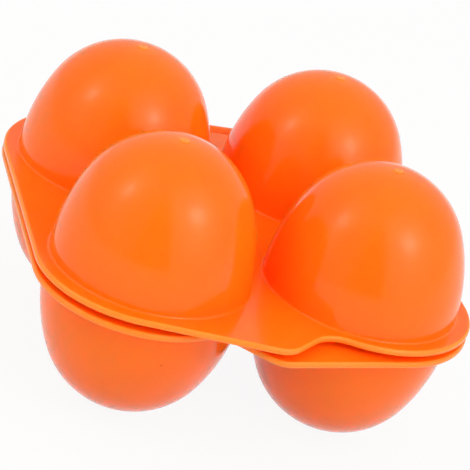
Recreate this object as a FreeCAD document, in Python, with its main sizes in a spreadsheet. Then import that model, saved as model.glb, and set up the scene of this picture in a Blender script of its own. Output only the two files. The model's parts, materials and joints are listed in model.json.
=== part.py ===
import FreeCAD, Part
import math
import os

import Sketcher

# Egg box for four eggs: two half shells from the same mould, each a flat flange
# with four egg-shaped cups. The upper shell is the lower one turned over. Both
# turn on one pin along the back edge, and press studs between the cups hold the
# box shut. The box stands on the gate discs of the lower cups, with the origin on
# the ground under its middle. X runs to the right, Y to the hinge and Z up.

SIZES = [
    ("cup_radius", 24.0, "outside of a cup at its mouth"),
    ("cup_depth", 34.0, "parting face to the outside of the crown"),
    ("crown_ease", 2.5, "how much rounder the crown is than the mouth is wide"),
    ("cup_gap_x", 4.5, "between the left and right cups at the flange"),
    ("cup_gap_y", 3.1, "between the front and back cups at the flange"),
    ("cup_wall", 1.5, "thickness of a cup"),
    ("gate_radius", 1.2, "disc on the crown where the plastic was fed in"),
    ("gate_lift", 0.2, "height of that disc"),
    ("flange_thick", 1.6, "thickness of the flange"),
    ("flange_side", 3.5, "flange beside the cups"),
    ("flange_front", 3.0, "flange in front of the cups"),
    ("flange_back", 5.6, "flange behind the cups"),
    ("front_round", 1.9, "radius of a front corner over that of a cup"),
    ("back_round", 4.8, "radius of a back corner over that of a cup"),
    ("foot_fillet", 0.5, "outside corner between cup and flange"),
    ("mouth_round", 0.5, "edge of a cup's mouth"),
    ("rim_round", 0.6, "edges of the flange"),
    ("tab_proud", 5.4, "tip of the finger tab in front of the flange"),
    ("tab_offset", 1.0, "tip of the finger tab to the right of the middle"),
    ("tab_corner", 6.5, "radius of the tab's tip"),
    ("tab_slope", 42.0, "slope of the tab's short side, degrees"),
    ("tab_valley", 8.0, "hollow between the tab and the next cup"),
    ("parting_gap", 0.2, "between the two flanges when shut"),
    ("lid_ajar", 0.7, "opening of the upper shell as photographed, degrees"),
    ("hinge_behind", 0.7, "hinge axis behind the flange"),
    ("barrel_proud", 0.7, "hinge barrel above the flange"),
    ("barrel_clear", 0.3, "hinge barrel to the other shell's flange"),
    ("knuckle_long", 15.0, "inner hinge knuckle"),
    ("knuckle_short", 7.0, "outer hinge knuckle"),
    ("knuckle_gap", 0.3, "between two knuckles"),
    ("knuckle_root", 1.0, "overlap of a knuckle with its flange"),
    ("pin_radius", 1.0, "hinge pin"),
    ("pin_clear", 0.1, "hinge pin to its bore"),
    ("pin_inset", 0.5, "pin end inside the end of the barrel"),
    ("pin_chamfer", 0.3, "ends of the pin"),
    ("stud_offset", 6.5, "press stud to the middle of the box"),
    ("stud_radius", 2.0, "press stud"),
    ("stud_length", 4.0, "press stud above the parting face"),
    ("stud_round", 1.2, "tip of the press stud"),
    ("stud_clear", 0.25, "press stud to its socket"),
    ("stud_end_clear", 0.4, "tip of the press stud to the socket's floor"),
    ("socket_wall", 1.2, "wall and floor of a socket"),
]

DERIVED = [
    ("cup_pitch_x", "2 * cup_radius + cup_gap_x", "cup centres, left to right"),
    ("cup_pitch_y", "2 * cup_radius + cup_gap_y", "cup centres, front to back"),
    ("crown_radius", "cup_radius - crown_ease", "outside of the crown"),
    ("front_corner", "cup_radius + front_round", "radius of the flange's front corners"),
    ("back_corner", "cup_radius + back_round", "radius of the flange's back corners"),
    ("side_reach", "cup_pitch_x / 2 + cup_radius + flange_side", "middle of the cups to the flange side"),
    ("front_reach", "cup_pitch_y / 2 + cup_radius + flange_front", "middle of the cups to the front edge"),
    ("back_reach", "cup_pitch_y / 2 + cup_radius + flange_back", "middle of the cups to the back edge"),
    ("tab_reach", "front_reach + tab_proud", "middle of the cups to the tip of the finger tab"),
    ("hinge_offset", "back_reach + hinge_behind", "middle of the cups to the hinge axis"),
    ("front_aside", "side_reach - front_corner", "middle of the box to a front corner's centre"),
    ("back_aside", "side_reach - back_corner", "middle of the box to a back corner's centre"),
    ("front_along", "hinge_offset + front_reach - front_corner", "hinge axis to the front corners' centres"),
    ("back_along", "hinge_behind + back_corner", "hinge axis to the back corners' centres"),
    ("gap_half", "parting_gap / 2", "parting face to the hinge axis"),
    ("flange_drop", "gap_half + flange_thick", "outer flange face to the hinge axis"),
    ("crown_drop", "gap_half + cup_depth", "crown to the hinge axis"),
    ("row_front", "hinge_offset + cup_pitch_y / 2", "hinge axis to the front cups"),
    ("tip_centre", "hinge_offset + tab_reach - tab_corner", "hinge axis to the tip's centre"),
    ("barrel_radius", "flange_drop + barrel_proud", "outside of the hinge barrel"),
    ("barrel_half", "knuckle_long + knuckle_short", "half the length of the barrel"),
    ("notch_depth", "barrel_radius + barrel_clear", "hinge axis to the flange behind the barrel"),
    ("socket_depth", "stud_length - parting_gap + stud_end_clear", "inside of a socket"),
    ("hinge_y", "(tab_reach + hinge_offset - barrel_radius) / 2", "hinge axis behind the origin"),
    ("hinge_z", "crown_drop + gate_lift", "hinge axis above the ground"),
]

doc = FreeCAD.newDocument("egg_box")
sheet = doc.addObject("Spreadsheet::Sheet", "sizes")


def fill_sheet():
    rows = [(name, str(value), note) for name, value, note in SIZES]
    rows += [(name, "=" + formula, note) for name, formula, note in DERIVED]
    for row, (name, content, note) in enumerate(rows, 1):
        sheet.set("A%d" % row, name)
        sheet.set("B%d" % row, content)
        sheet.setAlias("B%d" % row, name)
        sheet.set("C%d" % row, note)
    doc.recompute()


def size(name):
    return float(sheet.get(name))


def origin_feature(body, role):
    return next(f for f in body.Origin.OriginFeatures if f.Role == role)


def new_sketch(body, name, plane, shift=None):
    """Sketch on one of the body's own planes; shift gives a formula for each offset direction."""
    sketch = body.newObject("Sketcher::SketchObject", name)
    sketch.AttachmentSupport = [(origin_feature(body, plane), "")]
    sketch.MapMode = "FlatFace"
    for direction, formula in (shift or {}).items():
        sketch.setExpression("AttachmentOffset.Base." + direction, formula)
    return sketch


def dimension(sketch, kind, refs, formula):
    value = sketch.evalExpression(formula)
    value = math.radians(float(value.Value)) if kind == "Angle" else float(value)
    index = sketch.addConstraint(Sketcher.Constraint(kind, *refs, value))
    sketch.setExpression("Constraints[%d]" % index, formula)


def point_at(sketch, ref, right=None, left=None, above=None, below=None):
    """Place a point from the sketch's origin, each distance a formula with a positive value."""
    start = (-1, 1)
    if right:
        dimension(sketch, "DistanceX", start + ref, right)
    if left:
        dimension(sketch, "DistanceX", ref + start, left)
    if above:
        dimension(sketch, "DistanceY", start + ref, above)
    if below:
        dimension(sketch, "DistanceY", ref + start, below)


def add_line(sketch, a, b):
    return sketch.addGeometry(Part.LineSegment(FreeCAD.Vector(*a, 0), FreeCAD.Vector(*b, 0)))


def add_circle(sketch, centre, radius):
    circle = Part.Circle(FreeCAD.Vector(*centre, 0), FreeCAD.Vector(0, 0, 1), radius)
    return sketch.addGeometry(circle)


def add_arc(sketch, centre, radius, start, end):
    circle = Part.Circle(FreeCAD.Vector(*centre, 0), FreeCAD.Vector(0, 0, 1), radius)
    return sketch.addGeometry(Part.ArcOfCircle(circle, start, end))


def join(sketch, pairs, kind):
    for pair in pairs:
        sketch.addConstraint(Sketcher.Constraint(kind, *pair))


def along(point, direction, distance):
    return (point[0] + direction[0] * distance, point[1] + direction[1] * distance)


def flange_outline(body):
    """Wide round corners, and in front a finger tab whose long side touches the right-hand corner."""
    side, wide, corner = size("side_reach"), size("back_corner"), size("front_corner")
    tip, valley, slope = size("tab_corner"), size("tab_valley"), math.radians(size("tab_slope"))
    back_left, back_right = [(x, -size("back_along")) for x in (-size("back_aside"), size("back_aside"))]
    front_left, front_right = [(x, -size("front_along")) for x in (-size("front_aside"), size("front_aside"))]
    tip_centre = (size("tab_offset"), -size("tip_centre"))

    # long side: common tangent of the tip and the front right corner
    gap = (front_right[0] - tip_centre[0], front_right[1] - tip_centre[1])
    reach = math.hypot(*gap)
    long_turn = math.atan2(gap[1], gap[0]) - math.acos((tip - corner) / reach)
    long_normal = (math.cos(long_turn), math.sin(long_turn))

    # short side, and the hollow that leads from it to the front left corner
    short_normal = (-math.sin(slope), -math.cos(slope))
    short_way = (-math.cos(slope), math.sin(slope))
    base = along(tip_centre, short_normal, tip + valley)
    away = (base[0] - front_left[0], base[1] - front_left[1])
    ahead = away[0] * short_way[0] + away[1] * short_way[1]
    spare = away[0] ** 2 + away[1] ** 2 - (corner + valley) ** 2
    run = -ahead - math.sqrt(ahead ** 2 - spare)
    hollow_centre = along(base, short_way, run)
    left_turn = math.atan2(hollow_centre[1] - front_left[1], hollow_centre[0] - front_left[0])
    left_normal = (math.cos(left_turn), math.sin(left_turn))
    short_turn = math.atan2(short_normal[1], short_normal[0])
    half_turn, full_turn, quarter = math.pi, 2 * math.pi, math.pi / 2

    sketch = new_sketch(body, body.Label + "_outline", "XY_Plane", {"z": "-sizes.gap_half"})
    arc_bl = add_arc(sketch, back_left, wide, quarter, half_turn)
    left = add_line(sketch, (-side, back_left[1]), (-side, front_left[1]))
    arc_fl = add_arc(sketch, front_left, corner, half_turn, full_turn + left_turn)
    hollow = add_arc(sketch, hollow_centre, valley, short_turn + half_turn, left_turn + half_turn)
    short = add_line(
        sketch,
        along(along(tip_centre, short_normal, tip), short_way, run),
        along(tip_centre, short_normal, tip),
    )
    arc_tip = add_arc(sketch, tip_centre, tip, short_turn, long_turn)
    long = add_line(sketch, along(tip_centre, long_normal, tip), along(front_right, long_normal, corner))
    arc_fr = add_arc(sketch, front_right, corner, full_turn + long_turn, full_turn)
    right = add_line(sketch, (side, front_right[1]), (side, back_right[1]))
    arc_br = add_arc(sketch, back_right, wide, 0, quarter)
    rear = add_line(sketch, along(back_right, (0, 1), wide), along(back_left, (0, 1), wide))
    join(
        sketch,
        [
            (arc_bl, 2, left, 1),
            (left, 2, arc_fl, 1),
            (arc_fl, 2, hollow, 2),
            (hollow, 1, short, 1),
            (short, 2, arc_tip, 1),
            (arc_tip, 2, long, 1),
            (long, 2, arc_fr, 1),
            (arc_fr, 2, right, 1),
            (right, 2, arc_br, 1),
            (arc_br, 2, rear, 1),
            (rear, 2, arc_bl, 1),
        ],
        "Tangent",
    )
    for arc in (arc_bl, arc_br):
        dimension(sketch, "Radius", (arc,), "sizes.back_corner")
    for arc in (arc_fl, arc_fr):
        dimension(sketch, "Radius", (arc,), "sizes.front_corner")
    dimension(sketch, "Radius", (arc_tip,), "sizes.tab_corner")
    dimension(sketch, "Radius", (hollow,), "sizes.tab_valley")
    point_at(sketch, (arc_bl, 3), left="sizes.back_aside", below="sizes.back_along")
    point_at(sketch, (arc_br, 3), right="sizes.back_aside", below="sizes.back_along")
    point_at(sketch, (arc_fl, 3), left="sizes.front_aside", below="sizes.front_along")
    point_at(sketch, (arc_fr, 3), right="sizes.front_aside", below="sizes.front_along")
    point_at(sketch, (arc_tip, 3), right="sizes.tab_offset", below="sizes.tip_centre")
    dimension(sketch, "Angle", (short,), "-sizes.tab_slope * 1 deg")
    return sketch


def cup_profile(body, name, inset, solid):
    """Half section of a cup: straight through the flange, then a side arc and the crown."""
    shift = {"x": "sizes.cup_pitch_x / 2", "z": "sizes.row_front"}
    sketch = new_sketch(body, name, "XZ_Plane", shift)
    mouth = size("cup_radius") - size(inset) * (not solid)
    crown = size("crown_radius") - size(inset) * (not solid)
    top = -size("gap_half") if solid else size("gap_half")
    start, centre = -size("flange_drop"), size("crown_radius") - size("crown_drop")
    rise = start - centre
    side_radius = (mouth ** 2 + rise ** 2 - crown ** 2) / (2 * (mouth - crown))
    turn = math.atan2(rise, side_radius - mouth)
    edge = size("gate_radius") if solid else 0.0
    end_turn = -math.acos(edge / crown)
    end = (edge, centre + crown * math.sin(end_turn))

    cover = add_line(sketch, (0, top), (mouth, top))
    wall = add_line(sketch, (mouth, top), (mouth, start))
    side = add_arc(sketch, (mouth - side_radius, start), side_radius, -turn, 0)
    crown_arc = add_arc(sketch, (0, centre), crown, end_turn, -turn)
    chain = [(cover, 2, wall, 1)]
    if solid:
        floor = -size("hinge_z")
        step = add_line(sketch, end, (edge, floor))
        gate = add_line(sketch, (edge, floor), (0, floor))
        axis = add_line(sketch, (0, floor), (0, top))
        chain += [(crown_arc, 1, step, 1), (step, 2, gate, 1), (gate, 2, axis, 1)]
    else:
        axis = add_line(sketch, end, (0, top))
        chain += [(crown_arc, 1, axis, 1)]
    join(sketch, chain + [(axis, 2, cover, 1)], "Coincident")
    join(sketch, [(wall, 2, side, 2), (side, 1, crown_arc, 2)], "Tangent")
    join(sketch, [(cover,)], "Horizontal")
    join(sketch, [(axis,), (wall,)], "Vertical")
    join(sketch, [(axis, 2, -2), (crown_arc, 3, -2)], "PointOnObject")
    inward = "" if solid else " - sizes." + inset
    dimension(sketch, "Radius", (crown_arc,), "sizes.crown_radius" + inward)
    point_at(sketch, (crown_arc, 3), below="sizes.crown_drop - sizes.crown_radius")
    point_at(sketch, (wall, 2), right="sizes.cup_radius" + inward, below="sizes.flange_drop")
    if solid:
        point_at(sketch, (axis, 2), below="sizes.gap_half")
        join(sketch, [(step,)], "Vertical")
        join(sketch, [(gate,)], "Horizontal")
        point_at(sketch, (gate, 1), right="sizes.gate_radius", below="sizes.hinge_z")
    else:
        point_at(sketch, (axis, 2), above="sizes.gap_half")
    return sketch


def revolve_cups(body, kind, profile, name):
    """Turn one cup about its axis and repeat it to four."""
    cup = body.newObject(kind, name)
    cup.Profile = profile
    cup.ReferenceAxis = (profile, ["V_Axis"])
    cup.Angle = 360
    doc.recompute()
    cups = body.newObject("PartDesign::LinearPattern", name + "_four")
    cups.Originals = [cup]
    cups.Direction = (origin_feature(body, "X_Axis"), [""])
    cups.Reversed = True
    cups.Occurrences = 2
    cups.setExpression("Length", "sizes.cup_pitch_x")
    cups.Direction2 = (origin_feature(body, "Y_Axis"), [""])
    cups.Occurrences2 = 2
    cups.setExpression("Length2", "sizes.cup_pitch_y")
    body.Tip = cups
    doc.recompute()
    return cups


def pad(body, profile, name, length, downward=False):
    feature = body.newObject("PartDesign::Pad", name)
    feature.Profile = profile
    feature.Reversed = downward
    feature.setExpression("Length", length)
    doc.recompute()
    return feature


def pocket(body, profile, name, length):
    feature = body.newObject("PartDesign::Pocket", name)
    feature.Profile = profile
    feature.setExpression("Length", length)
    doc.recompute()
    return feature


def fillet(body, base, name, radius, chosen):
    edges = ["Edge%d" % n for n, edge in enumerate(base.Shape.Edges, 1) if chosen(edge)]
    if not edges:
        raise RuntimeError(name + " finds no edge to round")
    feature = body.newObject("PartDesign::Fillet", name)
    feature.Base = (base, edges)
    feature.setExpression("Radius", radius)
    doc.recompute()
    return feature


def is_ring(edge, radius, height):
    """True for a whole circle of about this radius, flat at this height."""
    if not edge.isClosed() or abs(edge.Length / (2 * math.pi) - radius) > 0.2:
        return False
    return abs(edge.BoundBox.ZMin - height) < 0.01 and abs(edge.BoundBox.ZMax - height) < 0.01


def follows(edge, outline):
    """True for an edge that lies straight above or below the flange's outline."""
    first, last = edge.ParameterRange
    points = [edge.valueAt(first + share * (last - first)) for share in (0.1, 0.5, 0.9)]
    if max(point.z for point in points) - min(point.z for point in points) > 0.01:
        return False
    level = -size("gap_half")
    flat = [Part.Vertex(point.x, point.y, level) for point in points]
    return all(outline.distToShape(point)[0] < 0.001 for point in flat)


def notch_profile(body):
    """Room in the back edge of the flange for the whole hinge barrel."""
    side = size("barrel_half") + size("knuckle_gap")
    near, far = -size("notch_depth"), size("notch_depth")
    sketch = new_sketch(body, body.Label + "_notch_profile", "XY_Plane", {"z": "-sizes.gap_half"})
    corners = [(-side, near), (side, near), (side, far), (-side, far)]
    lines = [add_line(sketch, corners[n], corners[(n + 1) % 4]) for n in range(4)]
    join(sketch, [(lines[n], 2, lines[(n + 1) % 4], 1) for n in range(4)], "Coincident")
    join(sketch, [(lines[0],), (lines[2],)], "Horizontal")
    join(sketch, [(lines[1],), (lines[3],)], "Vertical")
    half = "sizes.barrel_half + sizes.knuckle_gap"
    point_at(sketch, (lines[0], 1), left=half, below="sizes.notch_depth")
    point_at(sketch, (lines[1], 2), right=half, above="sizes.notch_depth")
    return sketch


def knuckle(body, name, start, length):
    """Piece of the hinge barrel, with its bore and the root that ties it to this flange."""
    sketch = new_sketch(body, name + "_profile", "YZ_Plane", {"z": start})
    radius, top, bottom = size("barrel_radius"), -size("gap_half"), -size("flange_drop")
    root = -size("notch_depth") - size("knuckle_root")
    high = (-math.sqrt(radius ** 2 - top ** 2), top)
    low = (-math.sqrt(radius ** 2 - bottom ** 2), bottom)
    low_turn = math.atan2(low[1], low[0])
    high_turn = math.atan2(high[1], high[0]) + 2 * math.pi
    barrel = add_arc(sketch, (0, 0), radius, low_turn, high_turn)
    upper = add_line(sketch, high, (root, top))
    inner = add_line(sketch, (root, top), (root, bottom))
    lower = add_line(sketch, (root, bottom), low)
    bore = add_circle(sketch, (0, 0), size("pin_radius") + size("pin_clear"))
    join(
        sketch,
        [
            (barrel, 2, upper, 1),
            (upper, 2, inner, 1),
            (inner, 2, lower, 1),
            (lower, 2, barrel, 1),
            (barrel, 3, -1, 1),
            (bore, 3, -1, 1),
        ],
        "Coincident",
    )
    join(sketch, [(upper,), (lower,)], "Horizontal")
    join(sketch, [(inner,)], "Vertical")
    dimension(sketch, "Radius", (barrel,), "sizes.barrel_radius")
    dimension(sketch, "Radius", (bore,), "sizes.pin_radius + sizes.pin_clear")
    point_at(sketch, (inner, 1), left="sizes.notch_depth + sizes.knuckle_root", below="sizes.gap_half")
    point_at(sketch, (inner, 2), below="sizes.flange_drop")
    return pad(body, sketch, name, length)


def spot(body, name, radius, left=None, right=None):
    """Circle on the parting face in the middle of the four cups, to one side of the box's middle."""
    sketch = new_sketch(body, name, "XY_Plane", {"z": "-sizes.gap_half"})
    aside = float(sketch.evalExpression(left or right))
    centre = (-aside if left else aside, -size("hinge_offset"))
    circle = add_circle(sketch, centre, float(sketch.evalExpression(radius)))
    dimension(sketch, "Radius", (circle,), radius)
    point_at(sketch, (circle, 3), left=left, right=right, below="sizes.hinge_offset")
    return sketch


def half_shell(label):
    """One moulding, drawn as the lower shell, with its origin on the hinge axis."""
    body = doc.addObject("PartDesign::Body", label)
    body.Label = label
    outline = flange_outline(body)
    pad(body, outline, label + "_flange", "sizes.flange_thick", downward=True)
    outside = cup_profile(body, label + "_cup_outside", "cup_wall", solid=True)
    cups = revolve_cups(body, "PartDesign::Revolution", outside, label + "_cup")
    foot = lambda edge: is_ring(edge, size("cup_radius"), -size("flange_drop"))
    fillet(body, cups, label + "_foot", "sizes.foot_fillet", foot)
    inside = cup_profile(body, label + "_cup_inside", "cup_wall", solid=False)
    hollow = revolve_cups(body, "PartDesign::Groove", inside, label + "_hollow")
    mouth_radius = size("cup_radius") - size("cup_wall")
    mouth = lambda edge: is_ring(edge, mouth_radius, -size("gap_half"))
    fillet(body, hollow, label + "_mouth", "sizes.mouth_round", mouth)
    room = pocket(body, notch_profile(body), label + "_notch", "sizes.flange_thick")
    fillet(body, room, label + "_rim", "sizes.rim_round", lambda edge: follows(edge, outline.Shape))

    half_gap = "sizes.knuckle_gap / 2"
    knuckle(body, label + "_knuckle_long", half_gap, "sizes.knuckle_long - sizes.knuckle_gap")
    knuckle(body, label + "_knuckle_short", "-sizes.barrel_half", "sizes.knuckle_short - " + half_gap)

    stud_spot = spot(body, label + "_stud_spot", "sizes.stud_radius", left="sizes.stud_offset")
    stud = pad(body, stud_spot, label + "_stud", "sizes.stud_length")
    tip = lambda edge: is_ring(edge, size("stud_radius"), size("stud_length") - size("gap_half"))
    fillet(body, stud, label + "_stud_tip", "sizes.stud_round", tip)
    hole = "sizes.stud_radius + sizes.stud_clear"
    boss_spot = spot(body, label + "_boss_spot", hole + " + sizes.socket_wall", right="sizes.stud_offset")
    boss_length = "sizes.socket_depth + sizes.socket_wall"
    boss = pad(body, boss_spot, label + "_boss", boss_length, downward=True)
    boss_end = -size("gap_half") - size("socket_depth") - size("socket_wall")
    boss_radius = size("stud_radius") + size("stud_clear") + size("socket_wall")
    end = lambda edge: is_ring(edge, boss_radius, boss_end)
    fillet(body, boss, label + "_boss_end", "sizes.rim_round", end)
    hole_spot = spot(body, label + "_socket_spot", hole, right="sizes.stud_offset")
    pocket(body, hole_spot, label + "_socket", "sizes.socket_depth")
    return body


def hinge_pin(label):
    body = doc.addObject("PartDesign::Body", label)
    body.Label = label
    sketch = new_sketch(body, label + "_section", "YZ_Plane")
    circle = add_circle(sketch, (0, 0), size("pin_radius"))
    join(sketch, [(circle, 3, -1, 1)], "Coincident")
    dimension(sketch, "Radius", (circle,), "sizes.pin_radius")
    rod = pad(body, sketch, label + "_rod", "2 * (sizes.barrel_half - sizes.pin_inset)")
    rod.SideType = "Symmetric"
    doc.recompute()
    ends = body.newObject("PartDesign::Chamfer", label + "_ends")
    rings = [n for n, edge in enumerate(rod.Shape.Edges, 1) if edge.isClosed()]
    ends.Base = (rod, ["Edge%d" % n for n in rings])
    ends.setExpression("Size", "sizes.pin_chamfer")
    doc.recompute()
    return body


def place(body, turn):
    """Put a body's origin on the hinge axis; turn is the formula of its rotation."""
    base = "create(<<vector>>; 0; sizes.hinge_y; sizes.hinge_z)"
    body.setExpression("Placement", "create(<<placement>>; %s; %s)" % (base, turn))


fill_sheet()
lower = half_shell("lower_shell")
upper = half_shell("upper_shell")
pin = hinge_pin("hinge_pin")

# Half a turn about an axis leaning by half the opening turns the upper shell over and opens it.
no_turn = "create(<<rotation>>; create(<<vector>>; 0; 1; 0); 0)"
lean = "sizes.lid_ajar * 0.5 deg"
over = "create(<<rotation>>; create(<<vector>>; 0; cos(%s); -sin(%s)); 180)" % (lean, lean)
place(lower, no_turn)
place(pin, no_turn)
place(upper, over)
doc.recompute()

for item in doc.Objects:
    if "Invalid" in item.State or "Error" in item.State:
        raise RuntimeError("%s: %s" % (item.Label, item.State))

os.makedirs("parts", exist_ok=True)
for body in (lower, upper, pin):
    shape = body.Shape
    if shape.isNull() or not shape.isValid() or len(shape.Solids) != 1:
        raise RuntimeError(body.Label + " is not one sound solid")
    box = shape.BoundBox
    print(body.Label, "volume %.0f" % shape.Volume, "box", [round(v, 2) for v in (
        box.XMin, box.XMax, box.YMin, box.YMax, box.ZMin, box.ZMax)])
    shape.exportStep("parts/%s.step" % body.Label)
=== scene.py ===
import json
import math

import bmesh
import bpy
from mathutils import Matrix, Vector


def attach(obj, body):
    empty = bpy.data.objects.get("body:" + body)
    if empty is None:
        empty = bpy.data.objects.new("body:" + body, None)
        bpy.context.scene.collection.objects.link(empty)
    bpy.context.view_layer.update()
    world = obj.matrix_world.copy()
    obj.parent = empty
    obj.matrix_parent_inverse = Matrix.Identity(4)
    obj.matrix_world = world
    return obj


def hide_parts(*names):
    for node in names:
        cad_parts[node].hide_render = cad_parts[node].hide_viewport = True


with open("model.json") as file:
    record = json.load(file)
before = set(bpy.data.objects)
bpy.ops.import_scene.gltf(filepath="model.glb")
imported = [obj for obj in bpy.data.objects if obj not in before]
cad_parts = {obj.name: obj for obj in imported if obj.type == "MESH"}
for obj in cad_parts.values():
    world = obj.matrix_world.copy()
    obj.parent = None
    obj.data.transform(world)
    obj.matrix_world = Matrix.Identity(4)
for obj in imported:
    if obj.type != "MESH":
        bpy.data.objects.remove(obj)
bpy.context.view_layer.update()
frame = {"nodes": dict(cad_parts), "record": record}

# The egg box is two half shells from one mould, drawn here as the lower one with the
# hinge axis as its X axis, and put in place by the joint in the record. Metres.
MM = 0.001
CUP_RADIUS = 24.0 * MM
CUP_DEPTH = 34.0 * MM
CROWN_EASE = 2.5 * MM
CUP_GAP_X = 4.5 * MM
CUP_GAP_Y = 3.1 * MM
CUP_WALL = 1.5 * MM
GATE_RADIUS = 1.2 * MM
GATE_LIFT = 0.2 * MM
GATE_DIMPLE = 0.5 * MM
FLANGE_THICK = 1.6 * MM
FLANGE_SIDE = 3.5 * MM
FLANGE_FRONT = 3.0 * MM
FLANGE_BACK = 5.6 * MM
FRONT_ROUND = 1.9 * MM
BACK_ROUND = 4.8 * MM
FOOT_FILLET = 0.5 * MM
MOUTH_ROUND = 0.5 * MM
RIM_ROUND = 0.6 * MM
TAB_PROUD = 5.4 * MM
TAB_OFFSET = 1.0 * MM
TAB_CORNER = 6.5 * MM
TAB_SLOPE = math.radians(42)
TAB_VALLEY = 8.0 * MM
PARTING_GAP = 0.2 * MM
HINGE_BEHIND = 0.7 * MM
BARREL_PROUD = 0.7 * MM
BARREL_CLEAR = 0.3 * MM
KNUCKLE_LONG = 15.0 * MM
KNUCKLE_SHORT = 7.0 * MM
KNUCKLE_GAP = 0.3 * MM
BORE_RADIUS = 1.1 * MM
STUD_OFFSET = 6.5 * MM
STUD_RADIUS = 2.0 * MM
STUD_LENGTH = 4.0 * MM
STUD_ROUND = 1.2 * MM
SOCKET_RADIUS = 2.25 * MM
SOCKET_DEPTH = 4.2 * MM
SOCKET_WALL = 1.2 * MM
FLAT_MARGIN = 0.4 * MM    # flat ring left round each rounding, so the flange shades flat
EDGE_BREAK = 0.15 * MM    # small edges of knuckles, sockets and gate scars
CROWN_REACH = 4.4 * MM    # how far from a gate the plastic is lighter
ROOT_INSET = 0.02 * MM    # how far a knuckle's root lies inside the flange
MERGE_GAP = 0.002 * MM
TOUCH = 0.001 * MM        # places closer than this count as the same

PARTING = -PARTING_GAP / 2
OUTER_FACE = PARTING - FLANGE_THICK
CROWN = PARTING - CUP_DEPTH
GATE = CROWN - GATE_LIFT
CROWN_RADIUS = CUP_RADIUS - CROWN_EASE
CUP_X = CUP_RADIUS + CUP_GAP_X / 2
CUP_Y = CUP_RADIUS + CUP_GAP_Y / 2
FRONT_CORNER = CUP_RADIUS + FRONT_ROUND
BACK_CORNER = CUP_RADIUS + BACK_ROUND
SIDE_REACH = CUP_X + CUP_RADIUS + FLANGE_SIDE
FRONT_REACH = CUP_Y + CUP_RADIUS + FLANGE_FRONT
HINGE_OFFSET = CUP_Y + CUP_RADIUS + FLANGE_BACK + HINGE_BEHIND
ROW_BACK = CUP_Y - HINGE_OFFSET
ROW_FRONT = -CUP_Y - HINGE_OFFSET
BARREL_RADIUS = FLANGE_THICK - PARTING + BARREL_PROUD
BARREL_HALF = KNUCKLE_LONG + KNUCKLE_SHORT
NOTCH_SIDE = BARREL_HALF + KNUCKLE_GAP
NOTCH_BACK = -BARREL_RADIUS - BARREL_CLEAR
SOCKET_OUTSIDE = SOCKET_RADIUS + SOCKET_WALL
SOCKET_END = PARTING - SOCKET_DEPTH - SOCKET_WALL

CUP_STEPS = 120
SMALL_STEPS = 40
RIM_STEPS = 6
EDGE_STEPS = 2
ARC_STEP = math.radians(3)
SIDE_STEP = ARC_STEP / 2     # the long arcs of the cup sides
ROUND_STEP = ARC_STEP * 3    # stud tips, foot fillets and the barrel
LIP_STEP = ARC_STEP * 5      # the smallest rounds
SHARP = math.radians(35)     # edges turned more than this stay crisp
QUARTER = math.pi / 2
UP = Vector((0, 0, 1))
AXIS_X = Vector((1, 0, 0))
SECTION_AXIS = Vector((0, -1, 0))   # turning seen in a section drawn in the XZ plane

hinge = frame["record"]["behaviour"]["joints"][0]
HINGE_PLACE = Vector(hinge["pos_m"])
LID_AJAR = math.radians(-hinge["range_deg"][0])


# wires

def straight(bm, tip, point):
    """Draw on from a wire's tip to a point."""
    end = bmesh.ops.extrude_vert_indiv(bm, verts=[tip])["verts"][0]
    end.co = point
    return end


def bend(bm, tip, centre, angle, axis=UP, step=ARC_STEP):
    """Draw on from a wire's tip in an arc about a centre."""
    steps = max(2, math.ceil(abs(angle) / step))
    arc = bmesh.ops.spin(bm, geom=[tip], cent=centre, axis=axis, angle=angle, steps=steps)
    return next(part for part in arc["geom_last"] if isinstance(part, bmesh.types.BMVert))


def close(bm, tip, start):
    bm.edges.new((tip, start))


def loose_edges(bm):
    return [edge for edge in bm.edges if not edge.link_faces]


# flange

def flat(x, y):
    """Point on the parting face."""
    return Vector((x, y, PARTING))


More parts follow.
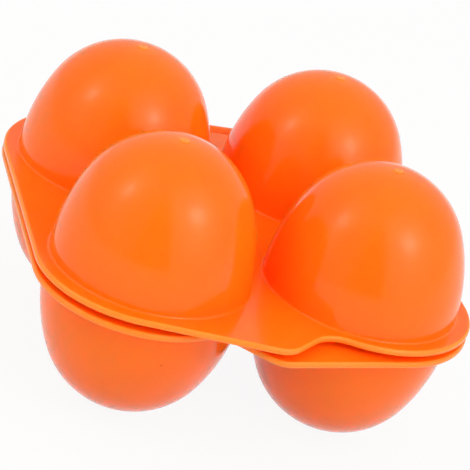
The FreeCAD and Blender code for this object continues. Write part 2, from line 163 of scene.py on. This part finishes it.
def flange_outline(bm):
    """Wide round corners, the finger tab in front and room for the barrel behind."""
    front = FRONT_CORNER - FRONT_REACH - HINGE_OFFSET
    back = -HINGE_BEHIND - BACK_CORNER
    back_left = flat(BACK_CORNER - SIDE_REACH, back)
    back_right = flat(SIDE_REACH - BACK_CORNER, back)
    front_left = flat(FRONT_CORNER - SIDE_REACH, front)
    front_right = flat(SIDE_REACH - FRONT_CORNER, front)
    tip = flat(TAB_OFFSET, TAB_CORNER - TAB_PROUD - FRONT_REACH - HINGE_OFFSET)

    # long side of the tab: common tangent of the tip and the front right corner
    gap = front_right - tip
    long_turn = math.atan2(gap.y, gap.x) - math.acos((TAB_CORNER - FRONT_CORNER) / gap.length)
    long_normal = Vector((math.cos(long_turn), math.sin(long_turn), 0))

    # short side, then the hollow that leads to the front left corner
    short_normal = Vector((-math.sin(TAB_SLOPE), -math.cos(TAB_SLOPE), 0))
    short_way = Vector((-math.cos(TAB_SLOPE), math.sin(TAB_SLOPE), 0))
    away = tip + short_normal * (TAB_CORNER + TAB_VALLEY) - front_left
    ahead = away.dot(short_way)
    run = -ahead - math.sqrt(ahead ** 2 - away.length_squared + (FRONT_CORNER + TAB_VALLEY) ** 2)
    hollow = front_left + away + short_way * run
    left_turn = math.atan2(hollow.y - front_left.y, hollow.x - front_left.x)
    short_turn = math.atan2(short_normal.y, short_normal.x)

    start = bm.verts.new(flat(-NOTCH_SIDE, -HINGE_BEHIND))
    pen = straight(bm, start, flat(back_left.x, -HINGE_BEHIND))
    pen = bend(bm, pen, back_left, QUARTER)
    pen = straight(bm, pen, flat(-SIDE_REACH, front))
    pen = bend(bm, pen, front_left, math.pi + left_turn)
    pen = bend(bm, pen, hollow, short_turn - left_turn)
    pen = straight(bm, pen, tip + short_normal * TAB_CORNER)
    pen = bend(bm, pen, tip, long_turn - short_turn)
    pen = straight(bm, pen, front_right + long_normal * FRONT_CORNER)
    pen = bend(bm, pen, front_right, -long_turn)
    pen = straight(bm, pen, flat(SIDE_REACH, back))
    pen = bend(bm, pen, back_right, QUARTER)
    pen = straight(bm, pen, flat(NOTCH_SIDE, -HINGE_BEHIND))
    pen = straight(bm, pen, flat(NOTCH_SIDE, NOTCH_BACK))
    pen = straight(bm, pen, flat(-NOTCH_SIDE, NOTCH_BACK))
    close(bm, pen, start)


def thicken(bm, depth):
    """Turn a closed wire into a solid with one face at each end."""
    face = bmesh.ops.contextual_create(bm, geom=loose_edges(bm))["faces"][0]
    grown = bmesh.ops.extrude_face_region(bm, geom=[face])["geom"]
    verts = [part for part in grown if isinstance(part, bmesh.types.BMVert)]
    bmesh.ops.translate(bm, verts=verts, vec=depth)


def ends(bm):
    """The two end faces of a solid made by thicken."""
    return sorted(bm.faces, key=lambda face: -len(face.verts))[:2]


def round_edges(bm, edges, radius, segments):
    bmesh.ops.bevel(
        bm, geom=edges, offset=radius, offset_type="OFFSET", affect="EDGES",
        segments=segments, profile=0.5, material=-1, clamp_overlap=True,
    )


def in_notch(edge):
    """Whether an edge borders the room for the barrel."""
    middle = (edge.verts[0].co + edge.verts[1].co) / 2
    return abs(middle.x) < NOTCH_SIDE + TOUCH and middle.y > NOTCH_BACK - TOUCH


def flange(bm, holes):
    """Flange plate with a rounded rim and, in both faces, round holes for the cups, stud and socket."""
    flange_outline(bm)
    thicken(bm, -UP * FLANGE_THICK)
    rim = {edge for face in ends(bm) for edge in face.edges if not in_notch(edge)}
    round_edges(bm, list(rim), RIM_ROUND, RIM_STEPS)
    mark_painted_glow_rim(bm)
    plates = ends(bm)
    bmesh.ops.inset_individual(bm, faces=plates, thickness=FLAT_MARGIN, use_even_offset=True)
    for plate in plates:
        level = plate.verts[0].co.z
        normal = plate.normal.copy()
        edges = list(plate.edges)
        bmesh.ops.delete(bm, geom=[plate], context="FACES_ONLY")
        for x, y, radius, steps in holes:
            place = Matrix.Translation((x, y, level))
            ring = bmesh.ops.create_circle(bm, segments=steps, radius=radius, matrix=place)
            edges += {edge for vert in ring["verts"] for edge in vert.link_edges}
        bmesh.ops.triangle_fill(bm, use_beauty=True, edges=edges, normal=normal)


def mark_painted_glow_rim(bm):
    """Remember which part of the flange is its rim, which gets a painted glow of light shining through the
    thin plastic.
    """
    layer = bm.verts.layers.float["rim"]
    plates = {vert for face in ends(bm) for vert in face.verts}
    for vert in bm.verts:
        if vert not in plates and abs(vert.co.y - NOTCH_BACK) >= TOUCH:
            vert[layer] = 1.0


def mark_gates(bm, cups):
    """Remember the scars where the plastic was fed in and broken off, which are painted pale partly as a
    painted highlight, and the crowns round them.
    """
    gate, crown = bm.verts.layers.float["gate"], bm.verts.layers.float["crown"]
    for vert in bm.verts:
        if vert.co.z < CROWN + CUP_WALL / 2:
            away = min((vert.co.xy - Vector(cup)).length for cup in cups)
            vert[crown] = max(0.0, 1.0 - away / CROWN_REACH)
            vert[gate] = float(vert.co.z < CROWN)


# round features of the shell

def turned(draw, steps):
    """Mesh of a section turned once about the upright axis."""
    bm = bmesh.new()
    draw(bm)
    bmesh.ops.spin(
        bm, geom=bm.verts[:] + bm.edges[:], cent=(0, 0, 0), axis=UP,
        angle=2 * math.pi, steps=steps, use_merge=True,
    )
    return finished(bm, draw.__name__)


def finished(bm, name):
    """Mesh from a bmesh that has done its work."""
    mesh = bpy.data.meshes.new(name)
    bm.to_mesh(mesh)
    bm.free()
    return mesh


def add(bm, mesh, x=0.0, y=0.0):
    """Add a finished mesh to the shell at a place."""
    known = len(bm.verts)
    bm.from_mesh(mesh)
    bm.verts.ensure_lookup_table()
    bmesh.ops.translate(bm, verts=bm.verts[known:], vec=(x, y, 0))


def at(radius, height):
    """Point of a section from its distance to the axis and its height."""
    return Vector((radius, 0, height))


CUP_RISE = OUTER_FACE - (CROWN + CROWN_RADIUS)


def side_arc(mouth, crown):
    """Radius and turn of the arc that leads from the straight mouth into the crown."""
    radius = (mouth ** 2 + CUP_RISE ** 2 - crown ** 2) / (2 * (mouth - crown))
    return radius, math.atan2(CUP_RISE, radius - mouth)


CUP_RING = CUP_RADIUS + FOOT_FILLET + FLAT_MARGIN


def cup_inside(bm):
    mouth, crown = CUP_RADIUS - CUP_WALL, CROWN_RADIUS - CUP_WALL
    radius, turn = side_arc(mouth, crown)
    pen = bm.verts.new(at(CUP_RING, PARTING))
    pen = straight(bm, pen, at(mouth + MOUTH_ROUND + FLAT_MARGIN, PARTING))
    pen = straight(bm, pen, at(mouth + MOUTH_ROUND, PARTING))
    lip = at(mouth + MOUTH_ROUND, PARTING - MOUTH_ROUND)
    pen = bend(bm, pen, lip, QUARTER, SECTION_AXIS, LIP_STEP)
    pen = straight(bm, pen, at(mouth, OUTER_FACE))
    pen = bend(bm, pen, at(mouth - radius, OUTER_FACE), -turn, SECTION_AXIS, SIDE_STEP)
    bend(bm, pen, at(0, CROWN + CROWN_RADIUS), turn - QUARTER, SECTION_AXIS)


def cup_outside(bm):
    radius, turn = side_arc(CUP_RADIUS, CROWN_RADIUS)
    lean = math.asin(FOOT_FILLET / (radius + FOOT_FILLET))
    foot = CUP_RADIUS - radius + (radius + FOOT_FILLET) * math.cos(lean)
    gate_turn = math.acos(GATE_RADIUS / CROWN_RADIUS)
    pen = bm.verts.new(at(CUP_RING, OUTER_FACE))
    pen = straight(bm, pen, at(foot, OUTER_FACE))
    fillet = at(foot, OUTER_FACE - FOOT_FILLET)
    pen = bend(bm, pen, fillet, QUARTER - lean, SECTION_AXIS, ROUND_STEP)
    pen = bend(bm, pen, at(CUP_RADIUS - radius, OUTER_FACE), lean - turn, SECTION_AXIS, SIDE_STEP)
    pen = bend(bm, pen, at(0, CROWN + CROWN_RADIUS), turn - gate_turn, SECTION_AXIS)
    pen = straight(bm, pen, at(GATE_RADIUS, GATE + EDGE_BREAK / 2))
    pen = straight(bm, pen, at(GATE_RADIUS - EDGE_BREAK, GATE))
    pen = straight(bm, pen, at(GATE_DIMPLE, GATE))
    pen = straight(bm, pen, at(GATE_DIMPLE / 2, GATE + EDGE_BREAK))
    straight(bm, pen, at(0, GATE + EDGE_BREAK))


STUD_RING = STUD_RADIUS + FLAT_MARGIN


def stud_outside(bm):
    tip = PARTING + STUD_LENGTH
    pen = bm.verts.new(at(STUD_RING, PARTING))
    pen = straight(bm, pen, at(STUD_RADIUS, PARTING))
    pen = straight(bm, pen, at(STUD_RADIUS, tip - STUD_ROUND))
    corner = at(STUD_RADIUS - STUD_ROUND, tip - STUD_ROUND)
    pen = bend(bm, pen, corner, QUARTER, SECTION_AXIS, ROUND_STEP)
    straight(bm, pen, at(0, tip))


def stud_back(bm):
    straight(bm, bm.verts.new(at(STUD_RING, OUTER_FACE)), at(0, OUTER_FACE))


SOCKET_RING = SOCKET_OUTSIDE + EDGE_BREAK + FLAT_MARGIN


def socket_inside(bm):
    pen = bm.verts.new(at(SOCKET_RING, PARTING))
    pen = straight(bm, pen, at(SOCKET_RADIUS + EDGE_BREAK, PARTING))
    pen = straight(bm, pen, at(SOCKET_RADIUS, PARTING - EDGE_BREAK))
    pen = straight(bm, pen, at(SOCKET_RADIUS, PARTING - SOCKET_DEPTH))
    straight(bm, pen, at(0, PARTING - SOCKET_DEPTH))


def socket_outside(bm):
    pen = bm.verts.new(at(SOCKET_RING, OUTER_FACE))
    pen = straight(bm, pen, at(SOCKET_OUTSIDE + EDGE_BREAK, OUTER_FACE))
    pen = straight(bm, pen, at(SOCKET_OUTSIDE, OUTER_FACE - EDGE_BREAK))
    pen = straight(bm, pen, at(SOCKET_OUTSIDE, SOCKET_END + RIM_ROUND))
    corner = at(SOCKET_OUTSIDE - RIM_ROUND, SOCKET_END + RIM_ROUND)
    pen = bend(bm, pen, corner, -QUARTER, SECTION_AXIS, LIP_STEP)
    straight(bm, pen, at(0, SOCKET_END))


# hinge

def knuckle(start, length):
    """One piece of the hinge barrel with its bore and the root that joins the flange."""
    bm = bmesh.new()
    high, low = PARTING - ROOT_INSET, OUTER_FACE + ROOT_INSET
    root = NOTCH_BACK - BARREL_CLEAR
    high_turn = math.pi - math.asin(high / BARREL_RADIUS)
    low_turn = math.asin(low / BARREL_RADIUS) - math.pi
    top = bm.verts.new((start, root, high))
    pen = straight(bm, top, (start, root, low))
    pen = straight(bm, pen, (start, BARREL_RADIUS * math.cos(low_turn), low))
    pen = bend(bm, pen, (start, 0, 0), high_turn - low_turn, AXIS_X, ROUND_STEP)
    close(bm, pen, top)
    thicken(bm, AXIS_X * length)
    rims = {edge for face in ends(bm) for edge in face.edges}
    round_edges(bm, list(rims), EDGE_BREAK, EDGE_STEPS)
    bores = []
    for face in ends(bm):
        x = face.verts[0].co.x
        normal = face.normal.copy()
        edges = list(face.edges)
        bmesh.ops.delete(bm, geom=[face], context="FACES_ONLY")
        place = Matrix.Translation((x, 0, 0)) @ Matrix.Rotation(QUARTER, 4, "Y")
        ring = bmesh.ops.create_circle(bm, segments=SMALL_STEPS, radius=BORE_RADIUS, matrix=place)
        bore = list({edge for vert in ring["verts"] for edge in vert.link_edges})
        bores += bore
        bmesh.ops.triangle_fill(bm, use_beauty=True, edges=edges + bore, normal=normal)
    bmesh.ops.bridge_loops(bm, edges=bores)
    return finished(bm, "knuckle")


# shells

def half_shell(name, place):
    """One moulding as a single mesh, put in its place in the box."""
    bm = bmesh.new()
    # the rim and gate layers mask a painted glow and a partly painted highlight
    for part in ("rim", "gate", "crown"):
        bm.verts.layers.float.new(part)
    cups = [(x, y) for x in (-CUP_X, CUP_X) for y in (ROW_FRONT, ROW_BACK)]
    stud = (-STUD_OFFSET, -HINGE_OFFSET)
    socket = (STUD_OFFSET, -HINGE_OFFSET)
    holes = [(x, y, CUP_RING, CUP_STEPS) for x, y in cups]
    holes += [(*stud, STUD_RING, SMALL_STEPS), (*socket, SOCKET_RING, SMALL_STEPS)]
    flange(bm, holes)
    for wall in (turned(cup_inside, CUP_STEPS), turned(cup_outside, CUP_STEPS)):
        for x, y in cups:
            add(bm, wall, x, y)
    for side in (stud_outside, stud_back):
        add(bm, turned(side, SMALL_STEPS), *stud)
    for side in (socket_inside, socket_outside):
        add(bm, turned(side, SMALL_STEPS), *socket)
    add(bm, knuckle(KNUCKLE_GAP / 2, KNUCKLE_LONG - KNUCKLE_GAP))
    add(bm, knuckle(-BARREL_HALF, KNUCKLE_SHORT - KNUCKLE_GAP / 2))
    bmesh.ops.remove_doubles(bm, verts=bm.verts, dist=MERGE_GAP)
    mark_gates(bm, cups)
    bmesh.ops.recalc_face_normals(bm, faces=bm.faces)
    bmesh.ops.transform(bm, matrix=place, verts=bm.verts)
    for face in bm.faces:
        face.smooth = True
    for edge in bm.edges:
        if len(edge.link_faces) == 2 and edge.calc_face_angle() > SHARP:
            edge.smooth = False
    shell = bpy.data.objects.new(name, finished(bm, name))
    bpy.context.scene.collection.objects.link(shell)
    return shell


# materials

def grey(level):
    return (level, level, level)


def new_material(name):
    material = bpy.data.materials.new(name)
    material.use_nodes = True
    return material, material.node_tree.nodes, material.node_tree.links


def noise(nodes, links, place, scale, detail):
    texture = nodes.new("ShaderNodeTexNoise")
    texture.inputs["Scale"].default_value = scale
    texture.inputs["Detail"].default_value = detail
    links.new(place, texture.inputs["Vector"])
    return texture.outputs["Fac"]


def ramp(nodes, links, value, stops):
    """Colours along a value from 0 to 1."""
    node = nodes.new("ShaderNodeValToRGB")
    band = node.color_ramp
    while len(band.elements) < len(stops):
        band.elements.new(0.5)
    for element, (position, colour) in zip(band.elements, stops):
        element.position = position
        element.color = (*colour, 1)
    links.new(value, node.inputs["Fac"])
    return node.outputs["Color"]


def spread(nodes, links, value, low, high, from_low=0.0, from_high=1.0):
    """Stretch a value into a range."""
    node = nodes.new("ShaderNodeMapRange")
    node.inputs["From Min"].default_value = from_low
    node.inputs["From Max"].default_value = from_high
    node.inputs["To Min"].default_value = low
    node.inputs["To Max"].default_value = high
    links.new(value, node.inputs["Value"])
    return node.outputs["Result"]


def mix(nodes, links, share, first, second):
    """A colour from the nodes mixed by a share with a plain second one."""
    node = nodes.new("ShaderNodeMix")
    node.data_type = "RGBA"
    links.new(share, node.inputs["Factor"])
    links.new(first, node.inputs[6])
    node.inputs[7].default_value = (*second, 1)
    return node.outputs[2]


def combine(nodes, links, operation, first, second):
    """Two values joined by an operation such as MULTIPLY or MAXIMUM."""
    node = nodes.new("ShaderNodeMath")
    node.operation = operation
    links.new(first, node.inputs[0])
    links.new(second, node.inputs[1])
    return node.outputs["Value"]


def attribute(nodes, name):
    node = nodes.new("ShaderNodeAttribute")
    node.attribute_name = name
    return node.outputs["Fac"]


def bump(nodes, links, height, distance, normal=None):
    node = nodes.new("ShaderNodeBump")
    node.inputs["Strength"].default_value = 1.0
    node.inputs["Distance"].default_value = distance
    links.new(height, node.inputs["Height"])
    if normal is not None:
        links.new(normal, node.inputs["Normal"])
    return node.outputs["Normal"]


PIGMENT = [(0.3, (1.0, 0.150, 0.003)), (0.7, (1.0, 0.168, 0.004))]
CROWN_ORANGE = (1.0, 0.20, 0.008)
CROWN_SHARE = 0.5
CROWN_FULL = 0.73           # nearness to a gate at which the crown has its full share
# painted glow: the rim colour stands in for light shining through the thin edge
RIM_PAINTED_GLOW = (1.0, 0.25, 0.02)
# gate scars: pale plastic of their own, with a painted highlight in the paleness
GATE_PALE_AND_HIGHLIGHT = (1.0, 0.25, 0.03)
SPECKS = [(0.80, grey(0.0)), (0.84, grey(0.6))]
SPECK_BROWN = (0.72, 0.07, 0.002)
CLOUD_SCALE = 38            # noise scales are patches to the metre
SPECK_SCALE = 420
HANDLING_SCALE = 90
SINK_SCALE = 60
GRAIN_SCALE = 900
HANDLING_RANGE = (0.3, 0.7)
POLISHED, HANDLED = 0.12, 0.17
SINK_DEPTH = 0.04 * MM
GRAIN_DEPTH = 0.002 * MM


def shell_plastic():
    """Glossy orange plastic: cloudy pigment, lighter crowns, rims with a painted glow, gates painted pale
    partly as a painted highlight and a few dark specks.
    """
    material, nodes, links = new_material("shell_plastic")
    plastic = nodes["Principled BSDF"]
    place = nodes.new("ShaderNodeTexCoord").outputs["Object"]

    clouds = noise(nodes, links, place, CLOUD_SCALE, detail=3)
    pigment = ramp(nodes, links, clouds, PIGMENT)
    crown = spread(nodes, links, attribute(nodes, "crown"), 0.0, CROWN_SHARE, 0.0, CROWN_FULL)
    pigment = mix(nodes, links, crown, pigment, CROWN_ORANGE)
    # painted glow: the flange rim is painted lighter, as if lit through its thin edge
    pigment = mix(nodes, links, attribute(nodes, "rim"), pigment, RIM_PAINTED_GLOW)
    # gate scars painted pale: partly the scar's own colour, partly a painted highlight
    pigment = mix(nodes, links, attribute(nodes, "gate"), pigment, GATE_PALE_AND_HIGHLIGHT)
    specks = ramp(nodes, links, noise(nodes, links, place, SPECK_SCALE, detail=1), SPECKS)
    pigment = mix(nodes, links, specks, pigment, SPECK_BROWN)
    links.new(pigment, plastic.inputs["Base Color"])

    handling = noise(nodes, links, place, HANDLING_SCALE, detail=4)
    gloss = spread(nodes, links, handling, POLISHED, HANDLED, *HANDLING_RANGE)
    links.new(gloss, plastic.inputs["Roughness"])
    plastic.inputs["Specular IOR Level"].default_value = 0.28
    plastic.subsurface_method = "BURLEY"
    plastic.inputs["Subsurface Weight"].default_value = 1.0
    plastic.inputs["Subsurface Radius"].default_value = (1.0, 0.15, 0.03)
    plastic.inputs["Subsurface Scale"].default_value = 8 * MM

    sinks = noise(nodes, links, place, SINK_SCALE, detail=2)
    surface = bump(nodes, links, sinks, SINK_DEPTH)
    grain = noise(nodes, links, place, GRAIN_SCALE, detail=2)
    surface = bump(nodes, links, grain, GRAIN_DEPTH, surface)
    links.new(surface, plastic.inputs["Normal"])
    return material


STEEL = [(0.35, (0.55, 0.54, 0.52)), (0.65, (0.70, 0.70, 0.69))]
TARNISH_SCALE = 500
SCRATCH_SCALES = (60, 6000, 6000)    # long scratches along the pin
SCRATCH_DEPTH = 0.01 * MM
DRAWN, SCRATCHED = 0.25, 0.45


def pin_steel():
    """Drawn wire: fine scratches along the pin and a little tarnish."""
    material, nodes, links = new_material("pin_steel")
    steel = nodes["Principled BSDF"]
    place = nodes.new("ShaderNodeTexCoord").outputs["Object"]
    stretched = nodes.new("ShaderNodeMapping")
    stretched.inputs["Scale"].default_value = SCRATCH_SCALES
    links.new(place, stretched.inputs["Vector"])
    scratches = noise(nodes, links, stretched.outputs["Vector"], scale=1, detail=3)
    tarnish = noise(nodes, links, place, TARNISH_SCALE, detail=3)
    links.new(ramp(nodes, links, tarnish, STEEL), steel.inputs["Base Color"])
    steel.inputs["Metallic"].default_value = 1.0
    links.new(spread(nodes, links, scratches, DRAWN, SCRATCHED), steel.inputs["Roughness"])
    links.new(bump(nodes, links, scratches, SCRATCH_DEPTH), steel.inputs["Normal"])
    return material


FLOOR_HALF = 3.0
FLOOR_GREY = 0.72
FLOOR_WHITE = 0.92          # share of plain white that the camera and reflections see


def floor_white():
    """White floor that keeps a faint shadow of the box."""
    material, nodes, links = new_material("floor_white")
    surface = nodes["Principled BSDF"]
    surface.inputs["Base Color"].default_value = (*grey(FLOOR_GREY), 1)
    surface.inputs["Roughness"].default_value = 0.9
    white = nodes.new("ShaderNodeEmission")
    path = nodes.new("ShaderNodeLightPath")
    seen = path.outputs["Is Camera Ray"]
    for ray in ("Is Glossy Ray", "Is Transmission Ray"):
        seen = combine(nodes, links, "MAXIMUM", seen, path.outputs[ray])
    blend = nodes.new("ShaderNodeMixShader")
    links.new(spread(nodes, links, seen, 0.0, FLOOR_WHITE), blend.inputs["Fac"])
    links.new(surface.outputs["BSDF"], blend.inputs[1])
    links.new(white.outputs["Emission"], blend.inputs[2])
    links.new(blend.outputs["Shader"], nodes["Material Output"].inputs["Surface"])
    return material


# photograph's view

def towards(azimuth, elevation):
    """Direction from the box in degrees; azimuth is from the front towards the right."""
    azimuth, elevation = math.radians(azimuth), math.radians(elevation)
    return Vector((
        math.sin(azimuth) * math.cos(elevation),
        -math.cos(azimuth) * math.cos(elevation),
        math.sin(elevation),
    ))


VIEW_AZIMUTH = -20.50
VIEW_ELEVATION = 26.10
VIEW_ROLL = math.radians(16.75)
VIEW_DISTANCE = 522.3 * MM
VIEW_TARGET = Vector((0, HINGE_PLACE.y - HINGE_OFFSET, HINGE_PLACE.z))
NEAREST = 10 * MM
SENSOR = 36
LENS = 162.58
FRAME_SHIFT = (0.0103, -0.0032)


def add_camera():
    """Camera leaning as in the photograph, where the box stands with its upright to the right."""
    back = towards(VIEW_AZIMUTH, VIEW_ELEVATION)
    right = towards(VIEW_AZIMUTH + 90, 0)
    upright = Matrix((right, back.cross(right), back)).transposed()
    turn = upright @ Matrix.Rotation(VIEW_ROLL, 3, "Z")
    data = bpy.data.cameras.new("camera")
    data.sensor_width = SENSOR
    data.lens = LENS
    data.shift_x, data.shift_y = FRAME_SHIFT
    data.clip_start = NEAREST
    camera = bpy.data.objects.new("camera", data)
    camera.matrix_world = Matrix.Translation(VIEW_TARGET + back * VIEW_DISTANCE) @ turn.to_4x4()
    bpy.context.scene.collection.objects.link(camera)
    bpy.context.scene.camera = camera


# light

# Brightness of a soft light from its middle, at 0, to its edge, at 0.5.
FADE = [
    (0.0, 1.0), (0.027, 0.78), (0.053, 0.58), (0.093, 0.40), (0.133, 0.28),
    (0.187, 0.18), (0.24, 0.12), (0.33, 0.075), (0.5, 0.03),
]
LAMP_MIDDLE = (0.5, 0.5, 0)
LAMP_COLOUR = (1.0, 0.95, 0.80)
LAMP_DISTANCE = 1.2
FILL_WIDTH = 2.0


def soft_light(name, azimuth, elevation, width, height, peak):
    """Soft light that faces the box; peak is its brightness in the middle."""
    way = towards(azimuth, elevation)
    data = bpy.data.lights.new(name, "AREA")
    data.shape = "RECTANGLE"
    data.size, data.size_y = width, height
    data.energy = peak * math.pi * width * height
    data.color = LAMP_COLOUR
    data.use_nodes = True
    nodes, links = data.node_tree.nodes, data.node_tree.links
    across = nodes.new("ShaderNodeVectorMath")
    across.operation = "DISTANCE"
    across.inputs[1].default_value = LAMP_MIDDLE
    links.new(nodes.new("ShaderNodeNewGeometry").outputs["Parametric"], across.inputs[0])
    stops = [(place, grey(share)) for place, share in FADE]
    level = ramp(nodes, links, across.outputs["Value"], stops)
    links.new(level, nodes["Emission"].inputs["Strength"])
    hang(name, data, way)


def fill_light(name, way, power):
    """Even light that leaves no bright spot on the plastic."""
    data = bpy.data.lights.new(name, "AREA")
    data.size = FILL_WIDTH
    data.energy = power
    hang(name, data, way).visible_glossy = False


def hang(name, data, way):
    """Put a light out of the camera's sight, facing the box."""
    light = bpy.data.objects.new(name, data)
    turn = way.to_track_quat("Z", "Y").to_matrix().to_4x4()
    light.matrix_world = Matrix.Translation(VIEW_TARGET + way * LAMP_DISTANCE) @ turn
    light.visible_camera = False
    bpy.context.scene.collection.objects.link(light)
    return light


def along(nodes, links, value, way):
    """How far a direction lies along a given way."""
    node = nodes.new("ShaderNodeVectorMath")
    node.operation = "DOT_PRODUCT"
    node.inputs[1].default_value = way
    links.new(value, node.inputs[0])
    return node.outputs["Value"]


SURROUND, SURROUND_RIGHT, SURROUND_FRONT_LEFT = 0.64, 0.66, 0.50
FRONT_LEFT = towards(-50, 0)
FRONT_LEFT_RANGE = (0.3, 0.75)
# The surround has a darker wedge round the camera; each edge goes through a high and a low direction.
WEDGE_LEFT = towards(-27, 60).cross(towards(-45, -10)).normalized()
WEDGE_RIGHT = towards(-18, 60).cross(towards(5, -10)).normalized()
WEDGE_LEFT_BLUR = (-0.03, 0.07)
WEDGE_RIGHT_BLUR = (-0.015, 0.03)
WEDGE_SHARE = 0.32


def studio():
    """Pale surround, dimmer to the front and left and darkest where the camera stands, and soft lights."""
    world = bpy.data.worlds.new("studio")
    world.use_nodes = True
    bpy.context.scene.world = world
    nodes, links = world.node_tree.nodes, world.node_tree.links
    background = nodes["Background"]
    background.inputs["Color"].default_value = (1, 1, 1, 1)
    way = nodes.new("ShaderNodeTexCoord").outputs["Generated"]
    front_left = along(nodes, links, way, FRONT_LEFT)
    past_left = along(nodes, links, way, WEDGE_LEFT)
    past_right = along(nodes, links, way, WEDGE_RIGHT)
    left = spread(nodes, links, front_left, SURROUND, SURROUND_FRONT_LEFT, *FRONT_LEFT_RANGE)
    wedge = spread(nodes, links, past_left, 1.0, WEDGE_SHARE, *WEDGE_LEFT_BLUR)
    right = spread(nodes, links, past_right, 0.0, SURROUND_RIGHT, *WEDGE_RIGHT_BLUR)
    level = combine(nodes, links, "MULTIPLY", left, wedge)
    level = combine(nodes, links, "MAXIMUM", level, right)
    links.new(level, background.inputs["Strength"])
    soft_light("light_left", azimuth=-86, elevation=38, width=1.08, height=1.5, peak=6.9)
    soft_light("light_right", azimuth=31, elevation=38, width=1.65, height=1.875, peak=8.9)
    fill_light("light_above", UP, power=3.7)
    fill_light("light_front", towards(-55, 0), power=5.4)
    fill_light("light_back", towards(165, 15), power=4.5)


def floor():
    bm = bmesh.new()
    bmesh.ops.create_grid(bm, x_segments=1, y_segments=1, size=FLOOR_HALF)
    sheet = bpy.data.objects.new("floor", finished(bm, "floor"))
    sheet.data.materials.append(floor_white())
    bpy.context.scene.collection.objects.link(sheet)


add_camera()
bpy.context.scene.view_settings.view_transform = "Standard"

plastic = shell_plastic()
to_hinge = Matrix.Translation(HINGE_PLACE)
half_ajar = LID_AJAR / 2
turned_over = Matrix.Rotation(math.pi, 4, Vector((0, math.cos(half_ajar), -math.sin(half_ajar))))
for name, body, node, place in (
    ("tray_shell", "tray", "lower_shell", to_hinge),
    ("lid_shell", "lid", "upper_shell", to_hinge @ turned_over),
):
    shell = half_shell(name, place)
    shell.data.materials.append(plastic)
    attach(shell, body)
    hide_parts(node)

pin = frame["nodes"]["hinge_pin"]
pin.data.materials.clear()
pin.data.materials.append(pin_steel())

studio()
floor()
